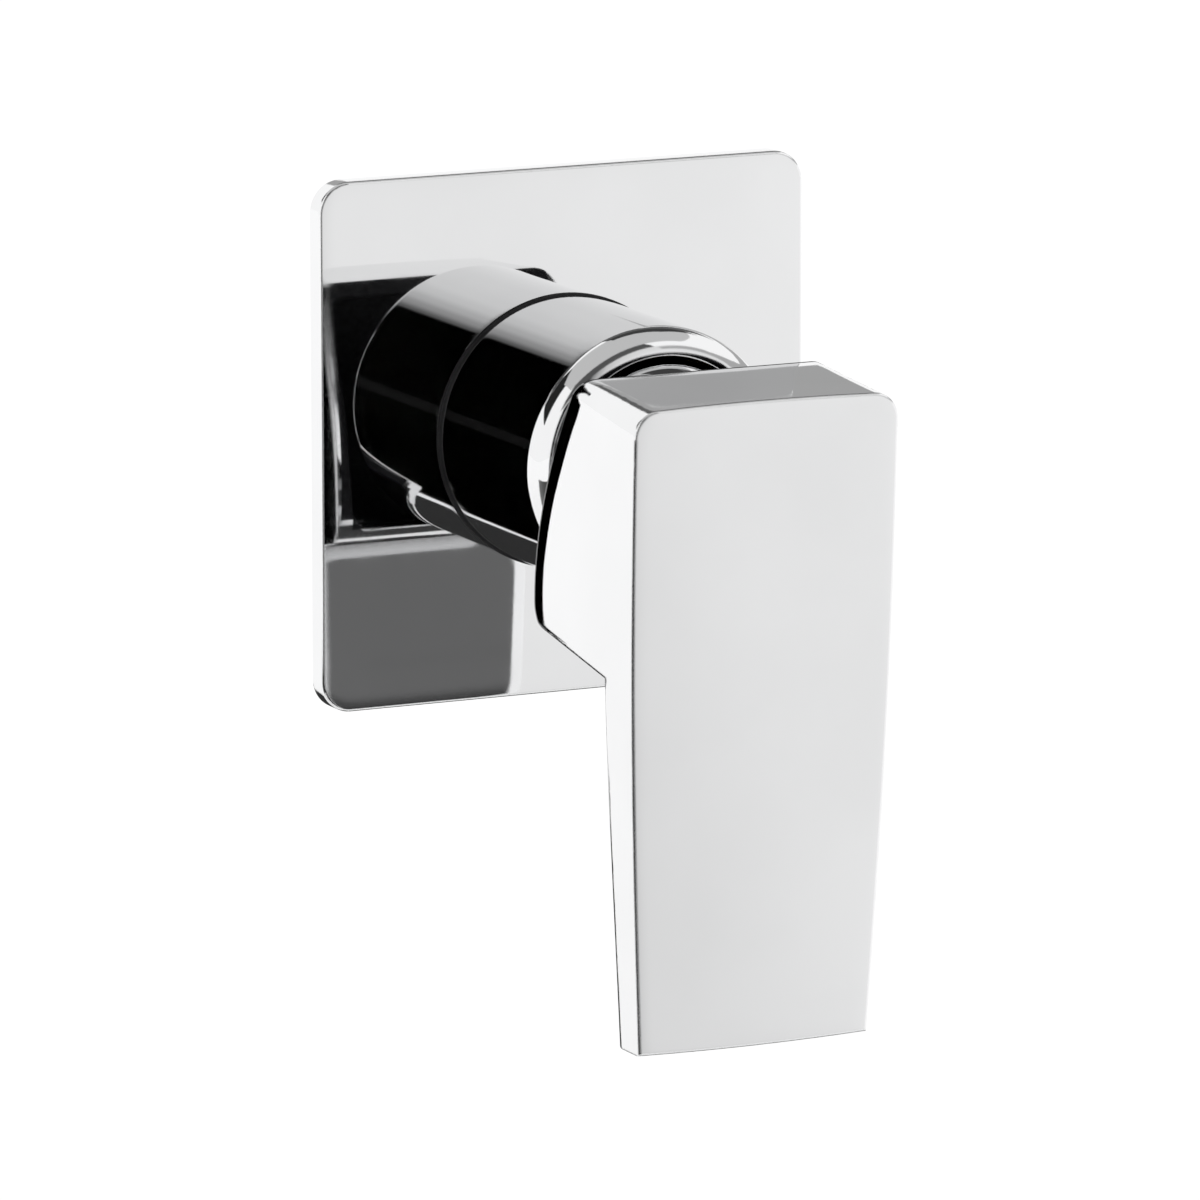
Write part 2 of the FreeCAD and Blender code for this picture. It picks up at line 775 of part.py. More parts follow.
def rim_slab(high, far):
    """What lies in front of the head's curved rim and of its rounded lower corner."""
    corner, centre = rim_centres()
    slope_angle = -90 - underside_angle
    rim_end = 180 - math.degrees(math.asin((high - centre[1]) / rim_radius))
    corner_foot = polar(corner, head_corner_radius, slope_angle)
    low = corner_foot[1] - 2 * overrun
    steps = [
        (far, low),
        (corner_foot[0], low),
        corner_foot,
        (polar(corner, head_corner_radius, (slope_angle - 180) / 2), (rim_low, corner[1])),
        (polar(centre, rim_radius, (rim_end + 180) / 2), polar(centre, rim_radius, rim_end)),
    ]
    return side_slab((far, high), steps)


def rim_centres():
    """Centres of the rim's rounded lower corner and of its long curve."""
    corner_distance = rim_low + head_corner_radius
    rise = head_corner_sink_share * head_corner_radius / math.cos(math.radians(underside_angle))
    corner_height = underside(corner_distance) + rise
    return (corner_distance, corner_height), (rim_low + rim_radius, corner_height)


def lever_shell():
    """The outer form of the lever, still solid inside."""
    form = lever_form()
    shell = head_part(form).fuse(blade_part(form)).removeSplitter()
    face = edges_where(shell, lambda p: abs(distance_of(p) - face_distance(p.z)) < edge_search)
    return shell.makeFillet(face_edge_round, face)


def lever_cavity():
    """The hollow of the head, open to the rear."""
    deep = face_distance(0) - face_wall
    shallow = sleeve_front - overrun
    half = handle_half_width - head_wall
    top_deep, top_shallow = handle_top - head_top_wall, handle_top + top_rise - head_top_wall
    front_wire = rounded_wire(half, underside(deep) + head_wall, top_deep, cavity_corner_radius, deep)
    rear_wire = rounded_wire(half, underside(shallow) + head_wall, top_shallow, cavity_corner_radius, shallow)
    return Part.makeLoft([front_wire, rear_wire], True, True)


def on_rim(point):
    """Whether a point lies on the head's rim, away from the seam between its two curves."""
    corner, centre = rim_centres()
    place = (distance_of(point), point.z)
    off_curve = abs(math.dist(place, centre) - rim_radius)
    off_corner = abs(math.dist(place, corner) - head_corner_radius)
    if abs(point.z - corner[1]) < edge_search:
        return False
    return off_curve < edge_search if point.z > corner[1] else off_corner < edge_search


def turret(radius, low, high):
    """A round bar under the spindle, square to it, where the grub screw sits."""
    start = Vector(0, front(pivot + grub_seat), -low)
    return Part.makeCylinder(radius, high - low, start, Vector(0, 0, -1))


def make_handle():
    shell, cavity = lever_shell(), lever_cavity()
    handle = shell.cut(cavity)
    mouth = edges_where(handle, lambda p: on_rim(p) and cavity.isInside(p, edge_search, True))
    handle = handle.makeFillet(rim_edge_round, mouth)
    boss_radius = math.hypot(spindle_width, spindle_height) / 2 + socket_boss_wall
    boss_low = pivot + dome_radius + dome_clearance
    post = lean_down(disc(boss_radius, boss_low, pivot + head_reach + overrun))
    screw_post = lean_down(turret(grub_radius + turret_wall, 0, underside_drop))
    handle = handle.fuse([post.common(shell), screw_post.common(shell)])
    half_width = spindle_width / 2 + socket_clearance
    half_height = spindle_height / 2 + socket_clearance
    pocket_high = pivot + spindle_reach + socket_clearance
    pocket = block(half_width, -half_height, half_height, boss_low - overrun, pocket_high)
    handle = handle.cut(lean_down(pocket))
    way = turret(grub_radius + grub_thread_clearance, 0, underside_drop + overrun)
    return handle.cut(lean_down(way)).removeSplitter()


def make_grub_screw():
    low = spindle_height / 2
    screw = turret(grub_radius, low, low + grub_length)
    key = turret(grub_key_radius, low + grub_length - grub_key_depth, low + grub_length + overrun)
    return lean_down(screw.cut(key))


def main():
    makers = {
        "wall_plate": make_wall_plate,
        "plate_gasket": make_plate_gasket,
        "plate_o_ring": make_plate_o_ring,
        "cover_sleeve": make_cover_sleeve,
        "sleeve_o_rings": make_sleeve_o_rings,
        "dome_cap": make_dome_cap,
        "mixer_body": make_mixer_body,
        "retaining_nut": make_retaining_nut,
        "cartridge_housing": make_cartridge_housing,
        "cartridge_base": make_cartridge_base,
        "port_seals": make_port_seals,
        "fixed_disc": make_fixed_disc,
        "moving_disc": make_moving_disc,
        "disc_carrier": make_disc_carrier,
        "cartridge_rotor": make_cartridge_rotor,
        "rotor_o_ring": make_rotor_o_ring,
        "stop_ring": make_stop_ring,
        "spindle": make_spindle,
        "spindle_pin": make_spindle_pin,
        "handle": make_handle,
        "grub_screw": make_grub_screw,
    }
    os.makedirs("parts", exist_ok=True)
    for node, make in makers.items():
        shape = make()
        shape.exportStep("parts/" + node + ".step")
        print(node, "solids", len(shape.Solids), "valid", shape.isValid(), "volume", round(shape.Volume))


main()
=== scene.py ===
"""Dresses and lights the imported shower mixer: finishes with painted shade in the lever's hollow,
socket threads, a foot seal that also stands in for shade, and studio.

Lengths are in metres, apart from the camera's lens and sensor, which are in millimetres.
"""

import json
import math

import bpy
from mathutils import Matrix, Vector


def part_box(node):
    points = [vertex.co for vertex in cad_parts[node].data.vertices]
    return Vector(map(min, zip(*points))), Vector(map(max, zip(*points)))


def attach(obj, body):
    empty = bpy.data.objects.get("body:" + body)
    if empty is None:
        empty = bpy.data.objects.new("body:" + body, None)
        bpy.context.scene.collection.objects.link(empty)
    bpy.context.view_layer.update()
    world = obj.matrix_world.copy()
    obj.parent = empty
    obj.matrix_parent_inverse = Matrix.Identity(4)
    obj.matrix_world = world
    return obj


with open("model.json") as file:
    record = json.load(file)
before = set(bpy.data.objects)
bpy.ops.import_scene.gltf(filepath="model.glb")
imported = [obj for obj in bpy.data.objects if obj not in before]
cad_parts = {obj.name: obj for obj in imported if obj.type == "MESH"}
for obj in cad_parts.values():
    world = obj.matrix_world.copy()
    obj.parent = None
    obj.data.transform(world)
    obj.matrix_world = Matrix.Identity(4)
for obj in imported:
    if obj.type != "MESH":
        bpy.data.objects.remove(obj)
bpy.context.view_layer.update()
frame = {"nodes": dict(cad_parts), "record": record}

# The camera stands where the photograph was taken from

CAMERA_PLACE = Vector((-0.8400, -1.8126, 0.3482))
CAMERA_AIM = Vector((0.0095, -0.037, -0.034))
CAMERA_ROLL = math.radians(-0.07)
CAMERA_LENS = 318.3
CAMERA_SENSOR = 36.0
CAMERA_NEAR = 0.05
CAMERA_FAR = 60.0


def make_camera():
    data = bpy.data.cameras.new("camera")
    data.lens = CAMERA_LENS
    data.sensor_width = CAMERA_SENSOR
    data.clip_start = CAMERA_NEAR
    data.clip_end = CAMERA_FAR
    camera = bpy.data.objects.new("camera", data)
    bpy.context.scene.collection.objects.link(camera)
    turn = (CAMERA_AIM - CAMERA_PLACE).to_track_quat("-Z", "Y").to_matrix()
    turn = turn @ Matrix.Rotation(CAMERA_ROLL, 3, "Z")
    camera.matrix_world = Matrix.Translation(CAMERA_PLACE) @ turn.to_4x4()
    bpy.context.scene.camera = camera


make_camera()

# Small helpers for the node trees


class Tree:
    """The nodes of a material or a world."""

    def __init__(self, owner):
        owner.use_nodes = True
        self.nodes = owner.node_tree.nodes
        self.links = owner.node_tree.links

    def fill(self, node, inputs):
        """Gives each input its value, or a link from another node's output."""
        for name, value in inputs.items():
            if isinstance(value, bpy.types.NodeSocket):
                self.links.new(value, node.inputs[name])
            else:
                node.inputs[name].default_value = value

    def add(self, kind, inputs=None, **settings):
        node = self.nodes.new(kind)
        for name, setting in settings.items():
            setattr(node, name, setting)
        self.fill(node, inputs or {})
        return node

    def axes(self, place):
        node = self.add("ShaderNodeSeparateXYZ", {"Vector": place})
        return [node.outputs[axis] for axis in "XYZ"]

    def maths(self, operation, *values):
        node = self.add("ShaderNodeMath", dict(enumerate(values)), operation=operation)
        return node.outputs["Value"]

    def product(self, first, second):
        return self.maths("MULTIPLY", first, second)

    def greater(self, first, second):
        return self.maths("MAXIMUM", first, second)

    def line(self, value, slope, offset):
        """The value times the slope, plus the offset."""
        return self.maths("MULTIPLY_ADD", value, slope, offset)

    def less(self, value, limit):
        """1 where the value is under the limit, and 0 elsewhere."""
        return self.maths("LESS_THAN", value, limit)

    def more(self, value, limit):
        """1 where the value is over the limit, and 0 elsewhere."""
        return self.maths("GREATER_THAN", value, limit)

    def all_of(self, first, *others):
        """1 where each of these is 1, and 0 elsewhere."""
        for other in others:
            first = self.product(first, other)
        return first

    def ranged(self, value, low, high, start=0.0, end=1.0):
        """Goes from low to high as the value goes from start to end, and stays between them."""
        limits = {"From Min": start, "From Max": end, "To Min": low, "To Max": high}
        node = self.add("ShaderNodeMapRange", {"Value": value, **limits})
        return node.outputs["Result"]

    def shades(self, value, stops, interpolation="LINEAR"):
        """Runs through the colours of the stops as the value passes their places."""
        node = self.add("ShaderNodeValToRGB", {"Fac": value})
        ramp = node.color_ramp
        ramp.interpolation = interpolation
        for place, _ in stops[2:]:
            ramp.elements.new(place)
        for element, (place, colour) in zip(ramp.elements, stops):
            element.position = place
            element.color = (*colour, 1.0)
        return node.outputs["Color"]


class Finish(Tree):
    """A material whose patterns are fixed to the piece that has it."""

    def __init__(self, name):
        self.material = bpy.data.materials.new(name)
        super().__init__(self.material)
        self.place = self.add("ShaderNodeTexCoord").outputs["Object"]

    def noise(self, scale, detail=2.0, rough=0.5, where=None):
        pattern = {"Scale": scale, "Detail": detail, "Roughness": rough}
        node = self.add("ShaderNodeTexNoise", {"Vector": where or self.place, **pattern})
        return node.outputs["Fac"]

    def cells(self, scale):
        node = self.add("ShaderNodeTexVoronoi", {"Vector": self.place, "Scale": scale})
        return node.outputs["Distance"]

    def mixed(self, share, first, second):
        node = self.add("ShaderNodeMix", {"Factor": share}, data_type="RGBA")
        slots = [slot for slot in node.inputs if slot.type == "RGBA"]
        for slot, colour in zip(slots, (first, second)):
            self.links.new(colour, slot)
        return next(slot for slot in node.outputs if slot.type == "RGBA")

    def direction(self, first, second):
        """The direction of the sum of two, so each counts by its length."""
        total = self.add("ShaderNodeVectorMath", {0: first, 1: second}, operation="ADD")
        whole = {0: total.outputs["Vector"]}
        return self.add("ShaderNodeVectorMath", whole, operation="NORMALIZE").outputs["Vector"]

    def bump(self, height, depth, under=None):
        """The normals of a relief of this depth, on those of the relief under it."""
        relief = {"Height": height, "Distance": depth}
        if under is not None:
            relief["Normal"] = under
        return self.add("ShaderNodeBump", relief).outputs["Normal"]

    def done(self, **inputs):
        """The material, with these inputs of its surface."""
        surface = {name.replace("_", " "): value for name, value in inputs.items()}
        self.fill(self.nodes["Principled BSDF"], surface)
        return self.material


# Polished chrome. Buffing leaves each edge a little round, and the faces roll faintly towards it.

CHROME_LIGHT = (0.9, 0.902, 0.907)
CHROME_DEEP_SHARE = 0.975
BUFFED_WIDTH = 0.005
BUFFED_SHARE = 0.05
EDGE_SAMPLES = 6

# The curve of the lever's rim, seen from the side, and how the head's faces roll over towards it

RIM_CENTRE_Y = -0.1534
RIM_CENTRE_Z = -0.02252
RIM_RADIUS = 0.068
HEAD_FOOT = -0.031
ROLL_DEPTH = 0.005
ROLL_TILT = 0.06

# The hollow of the head is left as cast and rough, up to its sides, its front and its sloping top
# and floor, and painted near-black as the shade inside it

HOLLOW_HALF_WIDTH = 0.02372
HOLLOW_FRONT = -0.1222
HOLLOW_TOP_SLOPE = 0.0887
HOLLOW_TOP = 0.02694
HOLLOW_FLOOR_SLOPE = 0.189
HOLLOW_FLOOR = -0.00841
# Near-black colours of the hollow and the rim's face: painted shade, far darker than the cast metal
# itself
HOLLOW_SHADE_DEEP = (0.014, 0.014, 0.015)
HOLLOW_SHADE_LIGHT = (0.03, 0.03, 0.032)

# So is the flat face of the rim, rough and painted near-black as shade, up to a line that follows
# the head's width

RIM_FACE_DEPTH = 0.0005
RIM_FACE_FOOT = -0.0225
RIM_FACE_SLOPE = 0.05
RIM_FACE_HALF_WIDTH = 0.0251


def buffed_normal(finish, normal, softness):
    soft = {"Radius": softness, "Normal": normal}
    edge = finish.add("ShaderNodeBevel", soft, samples=EDGE_SAMPLES)
    wide = finish.add("ShaderNodeBevel", {"Radius": BUFFED_WIDTH}, samples=EDGE_SAMPLES)
    weaker = {0: wide.outputs["Normal"], "Scale": BUFFED_SHARE}
    roll = finish.add("ShaderNodeVectorMath", weaker, operation="SCALE")
    return finish.direction(edge.outputs["Normal"], roll.outputs["Vector"])


def rim_depth(finish, y, z):
    """How far a point of the head lies in front of the curve of its rim."""
    along = finish.maths("SUBTRACT", y, RIM_CENTRE_Y)
    up = finish.maths("SUBTRACT", z, RIM_CENTRE_Z)
    square = finish.maths("ADD", finish.product(along, along), finish.product(up, up))
    return finish.maths("SUBTRACT", RIM_RADIUS, finish.maths("SQRT", square))


def rolled_normal(finish, normal):
    """The head's faces roll over a little towards its rim, as polishing leaves them."""
    _, y, z = finish.axes(finish.place)
    share = finish.ranged(rim_depth(finish, y, z), low=1.0, high=0.0, end=ROLL_DEPTH)
    share = finish.product(share, finish.more(z, HEAD_FOOT))
    push = finish.add("ShaderNodeCombineXYZ", {"Y": finish.product(share, ROLL_TILT)})
    turned = finish.add(
        "ShaderNodeVectorTransform",
        {"Vector": push.outputs["Vector"]},
        vector_type="VECTOR",
        convert_from="OBJECT",
        convert_to="WORLD",
    )
    return finish.direction(normal, turned.outputs["Vector"])


def cast_and_shaded(finish):
    """1 inside the lever's hollow head and on the face of its rim, which are rough and painted
    near-black as shade, and 0 where it is polished.
    """
    x, y, z = finish.axes(finish.place)
    side = finish.maths("ABSOLUTE", x)
    hollow = finish.all_of(
        finish.less(side, HOLLOW_HALF_WIDTH),
        finish.more(y, HOLLOW_FRONT),
        finish.less(finish.line(y, -HOLLOW_TOP_SLOPE, z), HOLLOW_TOP),
        finish.more(finish.line(y, -HOLLOW_FLOOR_SLOPE, z), HOLLOW_FLOOR),
    )
    rim_face = finish.all_of(
        finish.less(rim_depth(finish, y, z), RIM_FACE_DEPTH),
        finish.less(finish.line(z, RIM_FACE_SLOPE, side), RIM_FACE_HALF_WIDTH),
        finish.more(z, RIM_FACE_FOOT),
    )
    return finish.greater(hollow, rim_face)


def polished_chrome(name, wave_scale, wave_depth, softness, head=False):
    finish = Finish(name)
    deep = tuple(CHROME_DEEP_SHARE * level for level in CHROME_LIGHT)
    cloud = finish.noise(scale=38.0, detail=3.0)
    colour = finish.shades(cloud, [(0.35, deep), (0.65, CHROME_LIGHT)])
    smear = finish.noise(scale=90.0, detail=5.0, rough=0.65)
    roughness = finish.ranged(smear, low=0.015, high=0.05, start=0.35, end=0.8)
    normal = finish.bump(finish.noise(wave_scale, detail=1.0), wave_depth)
    normal = buffed_normal(finish, normal, softness)
    if head:
        normal = rolled_normal(finish, normal)
        # Where the head is left as cast it gets a rough finish, which is real, and a near-black
        # colour, which is painted shade
        share = cast_and_shaded(finish)
        grain = finish.noise(scale=700.0, detail=4.0, rough=0.7)
        hollow_shade_colour = finish.shades(grain, [(0.3, HOLLOW_SHADE_DEEP), (0.7, HOLLOW_SHADE_LIGHT)])
        colour = finish.mixed(share, colour, hollow_shade_colour)
        dull_roughness = finish.product(share, finish.ranged(grain, low=0.4, high=0.6))
        roughness = finish.greater(roughness, dull_roughness)
    return finish.done(Metallic=1.0, Base_Color=colour, Roughness=roughness, Normal=normal)


# The other finishes, each with its deep and its light shade

BRASS_TARNISHED = (0.34, 0.22, 0.085)
BRASS_DULL = (0.52, 0.36, 0.14)
BRASS_BRIGHT = (0.62, 0.44, 0.18)
TURNED_BRASS = {"deep": (0.56, 0.41, 0.16), "light": (0.74, 0.56, 0.26)}
DRAWN_STEEL = {"deep": (0.46, 0.46, 0.47), "light": (0.6, 0.6, 0.61)}
RUBBER = {"deep": (0.012, 0.012, 0.013), "light": (0.03, 0.03, 0.031)}
FOAM = {"deep": (0.012, 0.012, 0.014), "light": (0.075, 0.075, 0.08)}
IVORY_PLASTIC = {"deep": (0.72, 0.72, 0.68), "light": (0.80, 0.80, 0.76)}
BLUE_PLASTIC = {"deep": (0.10, 0.17, 0.30), "light": (0.13, 0.21, 0.35)}
CERAMIC = {"deep": (0.80, 0.79, 0.75), "light": (0.90, 0.89, 0.86)}
TURNED_LINES = (300.0, 5200.0, 300.0)
PLASTIC_ROUGHNESS_SPREAD = 0.12


def cast_brass(name):
    finish = Finish(name)
    tarnish = finish.noise(scale=55.0, detail=6.0, rough=0.6)
    stops = [(0.3, BRASS_TARNISHED), (0.5, BRASS_DULL), (0.7, BRASS_BRIGHT)]
    colour = finish.shades(tarnish, stops)
    roughness = finish.ranged(tarnish, low=0.5, high=0.3, start=0.3, end=0.7)
    grains = finish.bump(finish.cells(scale=1900.0), depth=0.00007)
    lumps = finish.noise(scale=900.0, detail=4.0, rough=0.7)
    normal = finish.bump(lumps, depth=0.00013, under=grains)
    return finish.done(Metallic=1.0, Base_Color=colour, Roughness=roughness, Normal=normal)


def turned_metal(name, deep, light, low, high):
    """Fine lines round the cartridge's axis, and a roughness between low and high."""
    finish = Finish(name)
    stretch = {"Vector": finish.place, "Scale": TURNED_LINES}
    stretched = finish.add("ShaderNodeMapping", stretch).outputs["Vector"]
    lines = finish.noise(scale=1.0, where=stretched)
    colour = finish.shades(finish.noise(scale=70.0, detail=4.0), [(0.3, deep), (0.7, light)])
    roughness = finish.ranged(lines, low, high, start=0.3, end=0.7)
    normal = finish.bump(lines, depth=0.00003)
    return finish.done(Metallic=1.0, Base_Color=colour, Roughness=roughness, Normal=normal)


def smooth_rubber(name, deep, light):
    finish = Finish(name)
    bloom = finish.noise(scale=160.0, detail=4.0, rough=0.6)
    colour = finish.shades(bloom, [(0.35, deep), (0.75, light)])
    roughness = finish.ranged(bloom, low=0.36, high=0.55, start=0.3, end=0.7)
    normal = finish.bump(finish.noise(scale=2200.0), depth=0.00003)
    return finish.done(
        Specular_IOR_Level=0.15, Base_Color=colour, Roughness=roughness, Normal=normal
    )


def cell_foam(name, deep, light):
    finish = Finish(name)
    pores = finish.cells(scale=1600.0)
    colour = finish.shades(pores, [(0.0, deep), (0.6, light)])
    return finish.done(
        Base_Color=colour, Roughness=0.95, Normal=finish.bump(pores, depth=0.00035)
    )


def moulded_plastic(name, deep, light, gloss):
    finish = Finish(name)
    flow = finish.noise(scale=60.0, detail=3.0)
    colour = finish.shades(flow, [(0.3, deep), (0.7, light)])
    dullest = gloss + PLASTIC_ROUGHNESS_SPREAD
    roughness = finish.ranged(flow, gloss, dullest, start=0.3, end=0.7)
    normal = finish.bump(finish.noise(scale=2600.0), depth=0.00003)
    return finish.done(Base_Color=colour, Roughness=roughness, Normal=normal)


def lapped_ceramic(name, deep, light):
    finish = Finish(name)
    grain = finish.noise(scale=900.0, detail=5.0, rough=0.7)
    colour = finish.shades(grain, [(0.3, deep), (0.7, light)])
    roughness = finish.ranged(grain, low=0.1, high=0.2, start=0.3, end=0.7)
    normal = finish.bump(grain, depth=0.00001)
    return finish.done(Coat_Weight=0.35, Base_Color=colour, Roughness=roughness, Normal=normal)


finishes = {
    "chrome": polished_chrome(
        "polished_chrome", wave_scale=14.0, wave_depth=0.00002, softness=0.0003
    ),
    "handle_chrome": polished_chrome(
        "handle_chrome", wave_scale=16.0, wave_depth=0.00003, softness=0.0006, head=True
    ),
    "brass": cast_brass("cast_brass"),
    "nut_brass": turned_metal("turned_brass", **TURNED_BRASS, low=0.14, high=0.3),
    "seal_rubber": smooth_rubber("seal_rubber", **RUBBER),
    "foam": cell_foam("cell_foam", **FOAM),
    "cartridge_plastic": moulded_plastic("cartridge_plastic", **IVORY_PLASTIC, gloss=0.32),
    "rotor_plastic": moulded_plastic("rotor_plastic", **BLUE_PLASTIC, gloss=0.34),
    "ceramic": lapped_ceramic("lapped_ceramic", **CERAMIC),
    "steel": turned_metal("drawn_steel", **DRAWN_STEEL, low=0.2, high=0.34),
}

for subpart in frame["record"]["subparts"]:
    for holder in frame["nodes"][subpart["node"]].material_slots:
        holder.material = finishes[subpart["material_slot"]]

# Small pieces that the solids leave out: the threads in the sockets, and the dark seal at the foot,
# which also stands in for the shaded groove there


def closed_tube(name, rings, material):
    """A smooth piece over rings of points, each joined to the next and the last to the first."""
    around = len(rings[0])
    faces = []
    for ring in range(len(rings)):
        here, there = ring * around, (ring + 1) % len(rings) * around
        for step in range(around):
            beside = (step + 1) % around
            faces.append((here + step, here + beside, there + beside, there + step))
    mesh = bpy.data.meshes.new(name)
    mesh.from_pydata([tuple(point) for ring in rings for point in ring], [], faces)
    mesh.validate()
    for polygon in mesh.polygons:
        polygon.use_smooth = True
    mesh.materials.append(material)
    piece = bpy.data.objects.new(name, mesh)
    bpy.context.scene.collection.objects.link(piece)
    return piece


# Pipe threads in the three sockets, as ridges that wind down each bore

THREAD_PITCH = 0.001814
THREAD_OUTER = 0.01044
THREAD_ROOT_THICKNESS = 0.00008
THREAD_ROOT = THREAD_OUTER - THREAD_ROOT_THICKNESS
THREAD_INNER = 0.00932
THREAD_FLAT_SHARE = 0.1
THREAD_START = 0.0006
THREAD_LENGTH = 0.0126
THREAD_STEPS = 72
ROWS_PER_TURN = 10
THREAD_ROWS = int(THREAD_LENGTH / THREAD_PITCH * ROWS_PER_TURN)

# Each socket's mouth, the direction into it and a direction across it

SOCKET_LEVEL = -0.0145
INLET_MOUTH = 0.032
OUTLET_MOUTH = 0.038
SOCKETS = [
    ("hot_inlet_thread", (-INLET_MOUTH, SOCKET_LEVEL, 0.0), (1, 0, 0), (0, 1, 0)),
    ("cold_inlet_thread", (INLET_MOUTH, SOCKET_LEVEL, 0.0), (-1, 0, 0), (0, 1, 0)),
    ("outlet_thread", (0.0, SOCKET_LEVEL, OUTLET_MOUTH), (0, 0, -1), (1, 0, 0)),
]


def thread_radius(turns):
    """The thread's radius after so many turns, with flats at its crest and its root."""
    share = abs((turns % 1.0) - 0.5) * 2.0
    share = (share - THREAD_FLAT_SHARE) / (1.0 - 2.0 * THREAD_FLAT_SHARE)
    return THREAD_INNER + (THREAD_ROOT - THREAD_INNER) * min(1.0, max(0.0, share))


def thread_rings(mouth, inwards, across):
    """Rings down a bore: its wall at both ends, and between them the thread, faded at its ends."""
    up = inwards.cross(across)

    def ring(depth, radii):
        points = []
        for step, radius in enumerate(radii):
            angle = math.tau * step / THREAD_STEPS
            spoke = across * math.cos(angle) + up * math.sin(angle)
            points.append(mouth + inwards * depth + spoke * radius)
        return points

    wall = [THREAD_OUTER] * THREAD_STEPS
    rings = [ring(THREAD_START, wall)]
    for row in range(THREAD_ROWS + 1):
        depth = THREAD_START + THREAD_LENGTH * row / THREAD_ROWS
        fade = min(1.0, row / ROWS_PER_TURN, (THREAD_ROWS - row) / ROWS_PER_TURN)
        turns = [depth / THREAD_PITCH + step / THREAD_STEPS for step in range(THREAD_STEPS)]
        radii = [THREAD_ROOT - (THREAD_ROOT - thread_radius(turn)) * fade for turn in turns]
        rings.append(ring(depth, radii))
    rings.append(ring(THREAD_START + THREAD_LENGTH, wall))
    return rings


for name, *place in SOCKETS:
    rings = thread_rings(*[Vector(value) for value in place])
    piece = closed_tube(name, rings, finishes["nut_brass"])
    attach(piece, "fixed")

# The thin dark seal on which the sleeve's foot stands on the plate. It also stands in for the
# shaded groove where the sleeve's foot meets the plate.

SEAL_SEGMENTS = 128
SEAL_OUTLINE_STEPS = 12
SEAL_HALF_HEIGHT = 0.0004
SEAL_PROUD = 0.0004
SEAL_DEPTH = 0.0012

_, sleeve_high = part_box("cover_sleeve")


def seal_rings():
    """Ovals all round the sleeve's foot. They run backwards, so that the faces look outwards."""
    oval = []
    for step in range(SEAL_OUTLINE_STEPS):
        turn = -math.tau * step / SEAL_OUTLINE_STEPS
        radius = sleeve_high.x - SEAL_DEPTH / 2 + SEAL_PROUD + math.cos(turn) * SEAL_DEPTH / 2
        oval.append((radius, sleeve_high.y - SEAL_HALF_HEIGHT * (1 + math.sin(turn))))
    rings = []
    for step in range(SEAL_SEGMENTS):
        angle = math.tau * step / SEAL_SEGMENTS
        rings.append([(r * math.cos(angle), y, r * math.sin(angle)) for r, y in oval])
    return rings


# A dark rubber ring at the sleeve's foot: partly a seal, partly a dark piece standing in for the
# shaded groove between the sleeve and the plate
foot_seal_and_shade = closed_tube("sleeve_foot_seal_and_shade", seal_rings(), finishes["seal_rubber"])
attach(foot_seal_and_shade, "fixed")

# The studio: a pale floor, a white room, and panels that darken what the chrome reflects of it

STUDIO_CENTRE = Vector((0.0, -0.07, 0.0))
WHITE = (1.0, 1.0, 1.0, 1.0)
FLOOR_LEVEL = -1.1
FLOOR_SIZE = 60.0
FLOOR_COLOUR = (0.75, 0.75, 0.75, 1.0)
FLOOR_ROUGHNESS = 0.9
FLOOR_GLOW = 0.45
ROOM_GLOW = 1.0
ROOM_LIGHT = 0.8

# A panel with a run of levels gets a little dimmer between these shares of its height

FADE_START = 0.55
FADE_END = 0.85
FADE_LEVEL = 0.81


def plane(name, centre, axes, width, height):
    mesh = bpy.data.meshes.new(name)
    right, top = width / 2, height / 2
    corners = [(-right, -top, 0), (right, -top, 0), (right, top, 0), (-right, top, 0)]
    mesh.from_pydata(corners, [], [(0, 1, 2, 3)])
    piece = bpy.data.objects.new(name, mesh)
    bpy.context.scene.collection.objects.link(piece)
    piece.matrix_world = Matrix.Translation(centre) @ axes.to_4x4()
    return piece


def glow(name, levels, slant):
    """One even level, or a run of them from left to right that leans over as it rises."""
    material = bpy.data.materials.new(name)
    tree = Tree(material)
    tree.nodes.clear()
    if isinstance(levels, float):
        light = {"Color": (levels, levels, levels, 1.0), "Strength": 1.0}
    else:
        across, up, _ = tree.axes(tree.add("ShaderNodeTexCoord").outputs["Generated"])
        stops = [(share, (level, level, level)) for share, level in levels]
        shade = tree.shades(tree.line(up, slant, across), stops, "EASE")
        fade = tree.ranged(up, 1.0, FADE_LEVEL, FADE_START, FADE_END)
        light = {"Color": shade, "Strength": fade}
    shine = tree.add("ShaderNodeEmission", light).outputs["Emission"]
    tree.add("ShaderNodeOutputMaterial", {"Surface": shine})
    return material


def card(name, centre, axes, width, height, levels, slant=0.0):
    """A glowing plane that the camera itself doesn't see."""
    piece = plane(name, centre, axes, width, height)
    piece.data.materials.append(glow(name, levels, slant))
    piece.visible_camera = False


def panel(name, azimuths, elevations, distance, levels, slant=0.0):
    """A card that faces the object, between two azimuths and two elevations seen from there.

    They are in degrees, and azimuth 0 is straight in front of the plate.
    """
    left, right = [math.radians(azimuth) for azimuth in azimuths]
    low, high = [math.tan(math.radians(elevation)) * distance for elevation in elevations]
    middle = (left + right) / 2
    outwards = Vector((math.sin(middle), -math.cos(middle), 0.0))
    rightwards = Vector((math.cos(middle), math.sin(middle), 0.0))
    centre = STUDIO_CENTRE + outwards * distance + Vector((0, 0, (low + high) / 2))
    width = 2 * distance * math.tan((right - left) / 2)
    axes = Matrix((rightwards, Vector((0, 0, 1)), outwards)).transposed()
    card(name, centre, axes, width, high - low, levels, slant)


def lit_ray(tree, seen_level, other_level):
    """One level for what the camera, metal and glass see, and another for the light it gives."""
    rays = tree.add("ShaderNodeLightPath").outputs
    seen = tree.greater(rays["Is Camera Ray"], rays["Is Glossy Ray"])
    seen = tree.greater(seen, rays["Is Transmission Ray"])
    return tree.ranged(seen, low=other_level, high=seen_level)


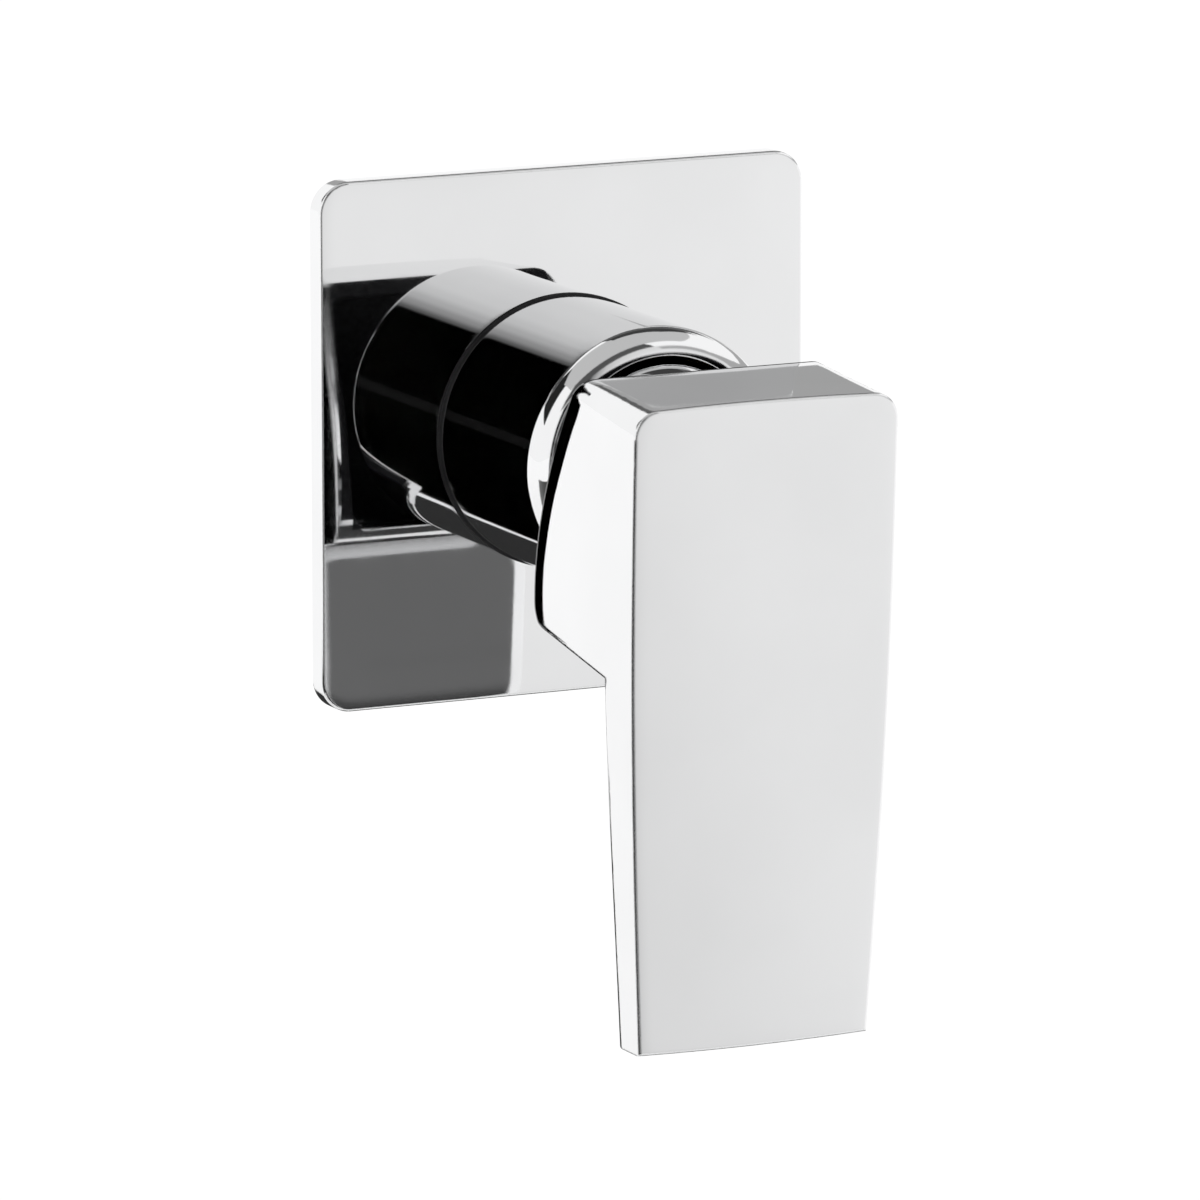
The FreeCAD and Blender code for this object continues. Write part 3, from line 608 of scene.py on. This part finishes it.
def make_floor():
    centre = Vector((0, 0, FLOOR_LEVEL))
    piece = plane("floor", centre, Matrix.Identity(3), FLOOR_SIZE, FLOOR_SIZE)
    material = bpy.data.materials.new("floor")
    tree = Tree(material)
    surface = {
        "Base Color": FLOOR_COLOUR,
        "Roughness": FLOOR_ROUGHNESS,
        "Specular IOR Level": 0.0,
        "Emission Color": WHITE,
        "Emission Strength": lit_ray(tree, FLOOR_GLOW, 0.0),
    }
    tree.fill(tree.nodes["Principled BSDF"], surface)
    piece.data.materials.append(material)


def make_world():
    world = bpy.data.worlds.new("world")
    bpy.context.scene.world = world
    tree = Tree(world)
    sky = {"Color": WHITE, "Strength": lit_ray(tree, ROOM_GLOW, ROOM_LIGHT)}
    tree.fill(tree.nodes["Background"], sky)


make_floor()
make_world()

# Runs of levels, from a panel's left to its right, each at a share of its width. The front panel is
# black up to its first level, which gives the sleeve its dark side, and bright beyond it.

FRONT_SLANT = 0.37
FRONT_LEVELS = [
    (0.7, 0.0),
    (0.71, 0.12),
    (0.75, 0.38),
    (0.79, 0.58),
    (0.837, 0.76),
    (0.887, 0.86),
    (0.97, 0.91),
]
INNER_LEVELS = [(0.0, 0.22), (0.5, 0.42), (1.0, 0.62)]
LOW_LEFT_LEVELS = [(0.0, 0.2), (0.6, 0.1), (1.0, 0.02)]

# Each panel's azimuths, elevations, distance, level or levels, and slant where it has one. The
# inner ones are for views from straight in front, and aren't reflected in the photograph's view.

PANELS = [
    ("front", (-33.0, 46.0), (-45.0, 29.5), 1.3, FRONT_LEVELS, FRONT_SLANT),
    ("front_inner", (-12.0, 5.0), (-24.0, 14.0), 1.28, INNER_LEVELS),
    ("front_inner_low", (-5.0, 5.0), (-27.0, -23.9), 1.28, 0.38),
    ("front_faint", (-32.0, -20.0), (-1.0, 2.5), 1.27, 0.006),
    ("front_high", (-42.0, 25.0), (28.0, 62.0), 1.36, 0.09),
    ("low_left", (-80.0, -33.2), (-45.0, -13.0), 1.3, LOW_LEFT_LEVELS),
    ("high_right_near", (25.5, 46.0), (14.0, 24.0), 1.2, 0.42),
    ("high_right", (45.8, 90.2), (12.0, 24.0), 1.25, 0.42),
    ("high_right_far", (90.0, 134.0), (12.0, 24.0), 1.25, 0.42),
    ("back_right", (134.0, 174.0), (14.0, 30.0), 1.3, 0.375),
    ("back_right_high", (122.0, 174.0), (30.0, 48.0), 1.3, 0.12),
    ("back_right_top", (112.0, 176.0), (46.0, 70.0), 0.7, 0.05),
    ("back_right_low", (144.0, 174.0), (-22.0, -4.0), 1.3, 0.15),
    ("back_low", (144.0, 192.0), (-50.0, -17.5), 0.9, 0.035),
    ("back_left_high", (-150.0, -92.0), (24.0, 56.0), 1.3, 0.02),
]
for row in PANELS:
    panel(*row)

# Two cards that lie flat, one over the object and one low behind it: centre, sides and level

FLAT_CARDS = [
    ("overhead", (0, 0, 1.5), (2.6, 2.6), 0.55),
    ("low_card", (0.66, 0.52, -1.05), (1.1, 1.2), 0.05),
]
for name, centre, sides, level in FLAT_CARDS:
    card(name, Vector(centre), Matrix.Identity(3), *sides, level)

bpy.context.scene.view_settings.view_transform = "Standard"
